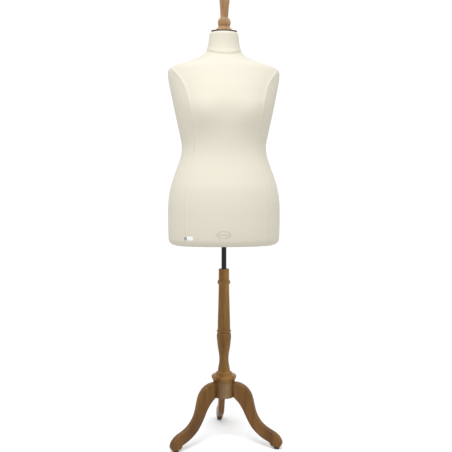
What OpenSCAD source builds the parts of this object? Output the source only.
// Dress form on a turned wooden tripod stand.
// The floor is z = 0, the front faces -Y and the plane of symmetry is x = 0.

/* [Torso] */
// Height of the hem's underside above the floor
hem_z = 740; // [730:1:790]
// Radius of the rounded hem edge
hem_edge_r = 22; // [12:1:24]
// Radius of the rounded edge at the top of the neck
neck_edge_r = 8; // [5:1:9]
// Wall of the papier-mache shell
shell_wall = 6; // [4:0.5:8]
// Thickness of the jersey cover
cover_t = 1.0; // [0.8:0.1:2]
// Gap between the shell and its cover
cover_gap = 0.5; // [0.2:0.05:0.6]
// How far the bust stands out past the ribcage on each side
bust_lift = 15; // [0:1:20]
// Thickness of the plywood board in the hem
board_t = 15; // [12:1:20]

/* [Pole] */
// Diameter of the steel pole
pole_d = 19; // [18:0.5:20]
// Wall of the pole's tube
pole_wall = 2; // [1.5:0.25:3]
// Height of the pole's lower end at rest
pole_bottom_z = 330; // [328:1:360]
// Length of pole inside the torso
pole_in_torso = 130; // [100:1:160]
// Radial running clearance of the pole and the studs
run_gap = 0.05; // [0.03:0.01:0.1]

/* [Column] */
// Height of the column's top
column_top_z = 647; // [640:1:650]
// Diameter of the column at its top
column_d = 40; // [38:1:44]
// Height of the flange's underside, where the hub begins
flange_z = 224; // [222:1:228]
// Diameter of the flange
flange_d = 95; // [85:1:100]
// Diameter of the hub that carries the legs
hub_d = 83; // [80:1:84]
// Height of the hub's underside
hub_bottom_z = 163; // [158:1:166]

/* [Legs] */
// Reach of a leg from the column's axis
leg_reach = 234; // [225:1:245]
// Thickness of a leg
leg_t = 24; // [20:1:28]
// Height of the rubber glide under each foot
glide_h = 7; // [4:0.5:8]

/* [Finial] */
// Height of the turned finial
finial_h = 124; // [110:1:135]
// Diameter of the finial's skirt
finial_skirt_d = 68; // [60:1:72]

/* [Hidden] */
$fn = 48;

// Outline of the torso, from the hem up. Each row holds the height above the hem,
// the half width, the reach to the front and to the back of the column's axis,
// the roundness of the section (1 is an ellipse, above 1 is a lens) and the
// forward slant of the section.
STATIONS = [
    [0, 207, 153, 148, 0.92, 0],
    [43, 209, 160, 155, 0.90, 0],
    [108, 210, 166, 160, 0.90, 0],
    [158, 209, 168, 155, 0.90, 0],
    [208, 202, 165, 144, 0.90, 0],
    [248, 191, 155, 132, 0.91, 0],
    [293, 175, 143, 118, 0.92, 0],
    [333, 162, 137, 108, 0.93, 0],
    [371, 158, 139, 104, 0.94, 0],
    [410, 165, 147, 105, 0.93, 0],
    [461, 176, 161, 111, 0.91, 0],
    [513, 187, 167, 119, 0.90, 0],
    [561, 197, 156, 127, 0.90, 0],
    [601, 205, 140, 132, 0.90, 0],
    [633, 210, 126, 133, 0.92, 0],
    [658, 207, 115, 130, 0.95, 0.01],
    [671, 186, 107, 125, 1.00, 0.03],
    [681, 158, 101, 119, 1.06, 0.06],
    [692, 130, 93, 110, 1.14, 0.13],
    [703, 104, 84, 100, 1.14, 0.21],
    [714, 83, 76, 89, 1.08, 0.31],
    [725, 70, 70, 79, 1.03, 0.40],
    [739, 62, 63, 69, 1.00, 0.46],
    [762, 57.5, 58, 60, 1.00, 0.37],
    [784, 55, 59, 55, 1.00, 0.26],
    [804, 52, 62, 50, 1.00, 0.176]
];
TORSO_H = 804;
NECK_SEAM_H = 739;
SHOULDER_H = 665;
SEAM_FRACTION = 0.72;
SEAM_BEND_H = 493;
BUST_H = 481;
BUST_X = 105;

// Heights above the hem at which the faceted skins have a ring.
BODY_LEVELS = [0, 2, 7, 14, 22, 55, 108, 158, 208, 248, 291, 331, 371, 410, 461, 513,
    549, 577, 601, 623, 643, 657, 664, 673, 681, 692, 703, 714, 725, NECK_SEAM_H];
NECK_LEVELS = [NECK_SEAM_H, 751, 766, 783, 796, 801, 803.3, TORSO_H];
SIDE_LEVELS = [for (h = BODY_LEVELS) if (h < SHOULDER_H) h];

bust_reach = 176;
column_y = (bust_reach - leg_reach) / 2;
column_r = column_d / 2;
pole_r = pole_d / 2;
bush_r = pole_r + 3;
bore_r = pole_r + 0.6;
bore_bottom_z = 250;
lock_z = column_top_z - 22;
lock_r = 3;
tenon_r = 14;
hub_r = hub_d / 2;
hub_flat = hub_r - 2.9;
leg_root = sqrt(hub_r * hub_r - leg_t * leg_t / 4);
pole_top_z = hem_z + pole_in_torso;
board_z = hem_z + 0.2;
socket_r = pole_r + 4;
LEG_ANGLES = [210, -30, 90];
LEG_HOLES_Z = [183, 211];
LEG_BOLT_Z = 197;
DOWEL_ENDS = [24, 60];
BOLT_ENDS = [18, 72];
glide_r = 10;

neck_tilt = 10;
neck_y = -6;
neck_top_z = hem_z + TORSO_H;
plate_r = 49;
plate_t = 3;
stud_r = 4;

WOOD = [0.50, 0.37, 0.22];
PALE_WOOD = [0.62, 0.48, 0.34];
PLY = [0.78, 0.66, 0.48];
JERSEY = [0.93, 0.91, 0.84];
CARD = [0.66, 0.58, 0.46];
STEEL = [0.30, 0.31, 0.33];
BRASS = [0.75, 0.62, 0.32];
RUBBER = [0.10, 0.10, 0.10];

// Smooth curves through a few points.
function last(list) = len(list) - 1;
function tangent(t, i, k) =
    let (a = max(0, i - 1), b = min(last(t), i + 1))
    (t[b][k] - t[a][k]) / (t[b][0] - t[a][0]);
function hermite(u, d, a, b, ma, mb) =
    (2 * u * u * u - 3 * u * u + 1) * a + (u * u * u - 2 * u * u + u) * d * ma
    + (3 * u * u - 2 * u * u * u) * b + (u * u * u - u * u) * d * mb;
function segment(t, x) = max([0, for (i = [0 : last(t) - 1]) if (x >= t[i][0]) i]);
function at(t, x, k) =
    let (i = segment(t, x), d = t[i + 1][0] - t[i][0], u = (x - t[i][0]) / d)
    hermite(u, d, t[i][k], t[i + 1][k], tangent(t, i, k), tangent(t, i + 1, k));
function knot(p, i) = p[min(max(i, 0), last(p))];
function flow(p, i, u) =
    hermite(u, 1, p[i], p[i + 1], (p[i + 1] - knot(p, i - 1)) / 2, (knot(p, i + 2) - p[i]) / 2);
function curve(p, n) = [for (i = [0 : last(p) - 1], j = [0 : n - 1]) flow(p, i, j / n), p[last(p)]];

// The torso's form: h is the height above the hem, a the angle from the front.
function round_in(r, s) = s >= r ? 0 : r - sqrt(max(0, r * r - (r - s) * (r - s)));
function edge_in(h) = round_in(hem_edge_r, h) + round_in(neck_edge_r, TORSO_H - h);
function bump(d, s) = exp(-d * d / (s * s));
function bust(h, x) = bust_lift * bump(h - BUST_H, 50) * bump(abs(x) - BUST_X, 58);
function signed_pow(v, e) = sign(v) * pow(abs(v), e);
function form(h, a) =
    let (
        inset = edge_in(h),
        x = (at(STATIONS, h, 1) - inset) * sin(a),
        reach = (cos(a) > 0 ? at(STATIONS, h, 2) : at(STATIONS, h, 3)) - inset,
        lift = bust(h, x) * max(0, cos(a)),
        y = -(reach + lift) * signed_pow(cos(a), at(STATIONS, h, 4))
    )
    [x, y, h + at(STATIONS, h, 5) * y];
function outward(h, a) =
    let (
        across = form(h, a + 1) - form(h, a - 1),
        along = form(min(h + 0.5, TORSO_H), a) - form(max(h - 0.5, 0), a),
        n = cross(across, along)
    )
    n / norm(n);
function skin(h, a, d) = form(h, a) + d * outward(h, a);

// Angle of the front seam; it runs up to the shoulder's tip and then along the shoulder.
function seam_share(h) =
    h < SEAM_BEND_H ? SEAM_FRACTION
    : h < SHOULDER_H ? SEAM_FRACTION
        + (1 - SEAM_FRACTION) * pow((h - SEAM_BEND_H) / (SHOULDER_H - SEAM_BEND_H), 3)
    : 1;
function seam_angle(h) = asin(seam_share(h));
function spread(a, b, n) = [for (i = [0 : n]) a + (b - a) * i / n];
function seam_column(h) = min(seam_angle(h), 88.5);
function front_angles(h) =
    let (s = seam_column(h), e = seam_angle(h))
    concat([-e], [for (i = [1 : 8]) -s + 2 * s * i / 9], [e]);
function side_angles(h) = spread(seam_angle(h), 180 - seam_angle(h), 6);
function back_angles(h) =
    let (s = seam_column(h), e = seam_angle(h))
    concat([180 - e], [for (i = [1 : 5]) 180 - s + s * i / 5]);
function mirrored(list) = [for (i = [last(list) : -1 : 0]) -list[i]];
function shell_front_angles(h) =
    let (m = seam_column(h), g = (90 - m) / 3)
    concat([-90, g - 90, 2 * g - 90], spread(-m, m, 9), [90 - 2 * g, 90 - g, 90]);
function shell_back_angles(h) =
    let (m = seam_column(h), g = (90 - m) / 3)
    concat([90, 90 + g, 90 + 2 * g], spread(180 - m, 180 + m, 10), [270 - 2 * g, 270 - g, 270]);
function ring_angles(h) =
    let (back = shell_back_angles(h))
    concat(shell_front_angles(h), [for (i = [1 : last(back) - 1]) back[i]]);

function panel(levels, angles, d) = [for (i = [0 : last(levels)]) [for (a = angles[i]) skin(levels[i], a, d)]];

// A closed sheet between two grids of points that have the same rows and columns.
function quad(a, b, c, d) = [[a, b, c], [a, c, d]];
module sheet(inner, outer, closed = false) {
    rows = len(inner);
    cols = len(inner[0]);
    far = rows * cols;
    wrap = closed ? cols : cols - 1;
    skin_faces = [
        for (r = [0 : rows - 2], c = [0 : wrap - 1])
            let (i = r * cols + c, j = r * cols + (c + 1) % cols, p = i + cols, q = j + cols)
            each concat(quad(i, j, q, p), quad(far + i, far + p, far + q, far + j))
    ];
    end_faces = [
        for (c = [0 : wrap - 1])
            let (j = (c + 1) % cols, t = (rows - 1) * cols)
            each concat(quad(c, far + c, far + j, j), quad(t + c, t + j, far + t + j, far + t + c))
    ];
    side_faces = closed ? [] : [
        for (r = [0 : rows - 2])
            let (i = r * cols, p = i + cols, j = i + cols - 1, q = j + cols)
            each concat(quad(i, p, far + p, far + i), quad(j, far + j, far + q, q))
    ];
    polyhedron(
        points = concat([for (row = inner) each row], [for (row = outer) each row]),
        faces = concat(skin_faces, end_faces, side_faces),
        convexity = 8
    );
}
module on_column() {
    translate([0, column_y, 0]) children();
}
module on_torso() {
    on_column() translate([0, 0, hem_z]) children();
}
module on_neck() {
    on_column() translate([0, neck_y, neck_top_z]) rotate([neck_tilt, 0, 0]) children();
}
module ring(r_out, r_in, h) {
    difference() {
        cylinder(h = h, r = r_out);
        translate([0, 0, -1]) cylinder(h = h + 2, r = r_in);
    }
}

// Stand
function column_outline() = concat(
    [[0, flange_z - 52], [tenon_r, flange_z - 52], [tenon_r, flange_z]],
    curve([[40, flange_z], [42, 227], [flange_d / 2, 236], [flange_d / 2, 241], [40, 246]], 3),
    curve([[31, 249], [28.5, 251], [28.5, 255], [26, 257]], 3),
    curve([[24, 259], [21.5, 274], [18.4, 292], [17.8, 309], [19.5, 327], [23.2, 347], [25.4, 366],
        [27.6, 386], [27, 400]], 3),
    [[24.6, 403.5]],
    curve([[27.2, 406], [27.8, 411], [26.6, 416], [24.3, 421]], 3),
    curve([[24, 424], [23.4, 455], [22, 500], [20.7, 550], [column_r, 586]], 2),
    curve([[22, 587.5], [24.2, 591], [24.7, 596], [24.2, 601], [22, 604.5]], 2),
    [[column_r, 606], [column_r, column_top_z - 2], [column_r - 2, column_top_z], [0, column_top_z]]
);
module lock_hole(r) {
    translate([0, 0, lock_z]) rotate([-90, 0, 0]) cylinder(h = column_d, r = r);
}
module column() {
    color(WOOD) on_column() difference() {
        rotate_extrude() polygon(column_outline());
        translate([0, 0, bore_bottom_z]) cylinder(h = column_top_z, r = bore_r);
        translate([0, 0, column_top_z - 80]) cylinder(h = 81, r = bush_r);
        lock_hole(5);
    }
}
module column_bush() {
    color(STEEL) on_column() difference() {
        translate([0, 0, column_top_z - 80]) ring(bush_r, pole_r + run_gap, 80);
        lock_hole(lock_r + 0.5);
    }
}
module at_legs() {
    for (a = LEG_ANGLES) rotate([0, 0, a]) children();
}
module root_rods(r, from, to, heights) {
    for (z = heights) translate([from, 0, z]) rotate([0, 90, 0]) cylinder(h = to - from, r = r);
}
module root_holes() {
    root_rods(5, DOWEL_ENDS[0], DOWEL_ENDS[1], LEG_HOLES_Z);
    root_rods(3, BOLT_ENDS[0], BOLT_ENDS[1], [LEG_BOLT_Z]);
}
module hub_cut(depth) {
    translate([depth, -leg_t, hub_bottom_z - 1]) cube([10, 2 * leg_t, flange_z]);
}
module hub() {
    color(WOOD) on_column() difference() {
        union() {
            translate([0, 0, hub_bottom_z + 4]) cylinder(h = flange_z - hub_bottom_z - 4, r = hub_r);
            translate([0, 0, hub_bottom_z]) cylinder(h = 4, r1 = hub_r - 4, r2 = hub_r);
        }
        translate([0, 0, hub_bottom_z - 1]) cylinder(h = flange_z, r = tenon_r);
        at_legs() hub_cut(leg_root);
        rotate([0, 0, 60]) at_legs() hub_cut(hub_flat);
        at_legs() root_holes();
    }
}
module hub_plug() {
    color(WOOD) on_column() translate([0, 0, hub_bottom_z + 1])
        cylinder(h = flange_z - 52 - hub_bottom_z - 1, r = tenon_r);
}
function leg_outline() = concat(
    [[leg_root, 221]],
    curve([[48, 222], [66, 221], [84, 214], [100, 201], [112, 183], [119, 163], [124, 142], [131, 119],
        [142, 99], [160, 80], [182, 67], [204, 58], [221, 46], [231, 32], [leg_reach - 1, 19], [227, glide_h]], 3),
    [[197, glide_h]],
    curve([[191, 12], [188, 19], [181, 22], [160, 31], [138, 45], [119, 62], [104, 83], [91, 106], [79, 128],
        [63, 149], [48, 162]], 3),
    [[leg_root, 168]]
);
module leg(a) {
    color(WOOD) on_column() rotate([0, 0, a]) difference() {
        rotate([90, 0, 0]) linear_extrude(leg_t, center = true) polygon(leg_outline());
        root_holes();
    }
}
module leg_front_left() {
    leg(LEG_ANGLES[0]);
}
module leg_front_right() {
    leg(LEG_ANGLES[1]);
}
module leg_back() {
    leg(LEG_ANGLES[2]);
}
module glide(a) {
    color(RUBBER) on_column() rotate([0, 0, a]) translate([212, 0, 0]) {
        cylinder(h = glide_h - 1.5, r = glide_r);
        translate([0, 0, glide_h - 1.5]) cylinder(h = 1.5, r1 = glide_r, r2 = glide_r - 1);
    }
}
module glide_front_left() {
    glide(LEG_ANGLES[0]);
}
module glide_front_right() {
    glide(LEG_ANGLES[1]);
}
module glide_back() {
    glide(LEG_ANGLES[2]);
}
module leg_dowels() {
    color(PALE_WOOD) on_column() at_legs() root_rods(5, DOWEL_ENDS[0], DOWEL_ENDS[1], LEG_HOLES_Z);
}
module leg_bolts() {
    color(STEEL) on_column() at_legs() root_rods(3, BOLT_ENDS[0], BOLT_ENDS[1], [LEG_BOLT_Z]);
}

// Clamp behind the column's top
module along_lock(y) {
    on_column() translate([0, y, lock_z]) rotate([-90, 0, 0]) children();
}
module lock_insert() {
    color(BRASS) along_lock(bush_r + 0.2) ring(5, lock_r + run_gap, column_r - bush_r - 0.6);
}
module lock_screw() {
    color(STEEL) along_lock(pole_r + 0.4) cylinder(h = 24, r = lock_r);
}
module lock_knob() {
    color(RUBBER) along_lock(pole_r + 14.4) difference() {
        union() {
            cylinder(h = 5, r = 8);
            translate([0, 0, 5]) cylinder(h = 11, r = 14);
            translate([0, 0, 16]) cylinder(h = 2, r1 = 14, r2 = 11);
        }
        translate([0, 0, -1]) cylinder(h = 11, r = lock_r);
        for (a = [0 : 45 : 315]) rotate([0, 0, a]) translate([16, 0, 4]) cylinder(h = 16, r = 3.5);
    }
}

// Pole
module pole() {
    color(STEEL) on_column() translate([0, 0, pole_bottom_z + 3])
        ring(pole_r, pole_r - pole_wall, pole_top_z - 3 - pole_bottom_z - 3);
}
module pole_plug() {
    cylinder(h = 3, r = pole_r);
    translate([0, 0, 3]) cylinder(h = 12, r = pole_r - pole_wall);
}
module pole_foot() {
    color(RUBBER) on_column() translate([0, 0, pole_bottom_z]) pole_plug();
}
module pole_crown() {
    color(STEEL) on_column() translate([0, 0, pole_top_z]) mirror([0, 0, 1]) pole_plug();
}

// Torso's inside
// The hem's outline, d inside the rounded edge's inner end.
function hem_ring(d) =
    [for (a = ring_angles(hem_edge_r)) let (p = skin(hem_edge_r, a, -hem_edge_r - 2 - d)) [p[0], p[1]]];
module base_board() {
    color(PLY) on_column() difference() {
        translate([0, 0, board_z]) linear_extrude(board_t) polygon(hem_ring(4));
        translate([0, 0, board_z - 1]) cylinder(h = board_t + 2, r = socket_r);
        at_flange_screws() translate([0, 0, -12]) cylinder(h = 20, r = 2);
    }
}
module at_flange_screws() {
    for (a = [45 : 90 : 315]) rotate([0, 0, a]) translate([30, 0, board_z + board_t]) children();
}
module socket_flange() {
    color(STEEL) on_column() difference() {
        translate([0, 0, board_z + board_t]) ring(42, socket_r, 4);
        at_flange_screws() translate([0, 0, -1]) cylinder(h = 6, r = 2);
    }
}
module socket_tube() {
    color(STEEL) on_column() translate([0, 0, board_z]) ring(socket_r, pole_r + run_gap, pole_top_z - board_z);
}
module socket_cap() {
    color(STEEL) on_column() translate([0, 0, pole_top_z + 0.1]) cylinder(h = 6, r = socket_r);
}
module flange_screws() {
    color(STEEL) on_column() at_flange_screws() {
        translate([0, 0, -12]) cylinder(h = 16, r = 2);
        translate([0, 0, 4]) cylinder(h = 2, r1 = 4, r2 = 2.5);
    }
}
SHELL_LEVELS = concat(BODY_LEVELS, [for (h = NECK_LEVELS) if (h > NECK_SEAM_H && h < TORSO_H) h]);
module shell_half(angles) {
    color(CARD) on_torso() sheet(
        panel(SHELL_LEVELS, angles, -shell_wall),
        panel(SHELL_LEVELS, angles, 0)
    );
}
module shell_front() {
    shell_half([for (h = SHELL_LEVELS) shell_front_angles(h)]);
}
module shell_back() {
    shell_half([for (h = SHELL_LEVELS) shell_back_angles(h)]);
}
module neck_block() {
    color(PLY) on_neck() difference() {
        translate([0, 3, -22]) cylinder(h = 20, r = 42);
        translate([0, 0, -23]) cylinder(h = 24, r = stud_r);
        at_plate_screws() translate([0, 0, -14]) cylinder(h = 20, r = 1.5);
    }
}
module at_plate_screws() {
    for (a = [90 : 120 : 330]) rotate([0, 0, a]) translate([37.5, 0, 0]) children();
}
module neck_plate() {
    color(RUBBER) on_neck() difference() {
        translate([0, 0, 1.8]) cylinder(h = plate_t, r = plate_r);
        cylinder(h = 9, r = stud_r);
        at_plate_screws() cylinder(h = 9, r = 1.5);
    }
}
module plate_screws() {
    color(STEEL) on_neck() at_plate_screws() {
        translate([0, 0, -14]) cylinder(h = 16 + plate_t, r = 1.5);
        translate([0, 0, 1.8 + plate_t]) cylinder(h = 1.2, r1 = 2.8, r2 = 1.8);
    }
}
module neck_stud() {
    color(STEEL) on_neck() translate([0, 0, -22]) cylinder(h = 56, r = stud_r);
}

// Jersey cover
module cover_panel(levels, angles) {
    color(JERSEY) on_torso() sheet(
        panel(levels, angles, cover_gap),
        panel(levels, angles, cover_gap + cover_t)
    );
}
module cover_front() {
    cover_panel(BODY_LEVELS, [for (h = BODY_LEVELS) front_angles(h)]);
}
module cover_side_right() {
    cover_panel(SIDE_LEVELS, [for (h = SIDE_LEVELS) side_angles(h)]);
}
module cover_side_left() {
    cover_panel(SIDE_LEVELS, [for (h = SIDE_LEVELS) mirrored(side_angles(h))]);
}
module cover_back_right() {
    cover_panel(BODY_LEVELS, [for (h = BODY_LEVELS) back_angles(h)]);
}
module cover_back_left() {
    cover_panel(BODY_LEVELS, [for (h = BODY_LEVELS) mirrored(back_angles(h))]);
}
module cover_neck() {
    color(JERSEY) on_torso() sheet(
        [for (h = NECK_LEVELS) [for (a = ring_angles(h)) skin(h, a, cover_gap)]],
        [for (h = NECK_LEVELS) [for (a = ring_angles(h)) skin(h, a, cover_gap + cover_t)]],
        closed = true
    );
}
module cover_hem() {
    color(JERSEY) on_torso() difference() {
        translate([0, 0, -cover_gap - cover_t]) linear_extrude(cover_t) polygon(hem_ring(3));
        translate([0, 0, -5]) linear_extrude(10) polygon(hem_ring(28));
    }
}
module neck_piping() {
    bead_r = 1.4;
    sides = 6;
    path = ring_angles(NECK_SEAM_H);
    turns = len(path);
    lift = cover_gap + cover_t + bead_r + 0.1;
    points = [
        for (a = path)
            let (n = outward(NECK_SEAM_H, a), centre = skin(NECK_SEAM_H, a, lift))
            each [for (b = [0 : 360 / sides : 359]) centre + bead_r * (cos(b) * n + sin(b) * [0, 0, 1])]
    ];
    faces = [
        for (i = [0 : turns - 1], j = [0 : sides - 1])
            let (p = i * sides, q = (i + 1) % turns * sides, k = (j + 1) % sides)
            each quad(p + j, p + k, q + k, q + j)
    ];
    color(JERSEY) on_torso() polyhedron(points = points, faces = faces, convexity = 6);
}
module hem_tacks() {
    color(STEEL) on_torso() for (p = hem_ring(14))
        translate([p[0], p[1], -cover_gap - cover_t - 1]) cylinder(h = 1, r1 = 2.5, r2 = 4);
}
module label_tab() {
    h = 26;
    a = -41;
    p = skin(h, a, cover_gap + cover_t + 0.2);
    n = outward(h, a);
    color([0.95, 0.95, 0.93]) on_torso() translate(p)
        rotate([0, 0, atan2(n[1], n[0])]) rotate([0, 90, 0]) translate([-8, -21, 0]) cube([16, 42, 0.6]);
}

// Finial
function finial_outline() = concat(
    [[0, 0]],
    curve([[finial_skirt_d / 2, 0], [33, 3], [27.5, 8], [23.4, 12.5], [21.4, 15]], 3),
    curve([[22, 17], [24.3, 25], [24.3, 33], [21.5, 41], [15, 47.5]], 3),
    [[14.5, 49.5]],
    curve([[15.5, 62], [17, 86], [19.6, 109]], 3),
    curve([[18.5, 112], [18.5, 116], [13, 122], [0, finial_h]], 3)
);
module on_plate() {
    on_neck() translate([0, 0, 2 + plate_t]) children();
}
module finial() {
    color(PALE_WOOD) on_plate() difference() {
        rotate_extrude() polygon(finial_outline());
        translate([0, 0, -1]) cylinder(h = 36, r = 7);
    }
}
module finial_insert() {
    color(BRASS) on_plate() translate([0, 0, 1]) ring(7, stud_r + run_gap, 30);
}

column();
hub();
hub_plug();
leg_front_left();
leg_front_right();
leg_back();
glide_front_left();
glide_front_right();
glide_back();
leg_dowels();
leg_bolts();
column_bush();
lock_insert();
lock_screw();
lock_knob();
pole();
pole_foot();
pole_crown();
base_board();
socket_flange();
socket_tube();
socket_cap();
flange_screws();
shell_front();
shell_back();
neck_block();
neck_plate();
plate_screws();
neck_stud();
cover_front();
cover_side_left();
cover_side_right();
cover_back_left();
cover_back_right();
cover_neck();
cover_hem();
neck_piping();
hem_tacks();
label_tab();
finial();
finial_insert();
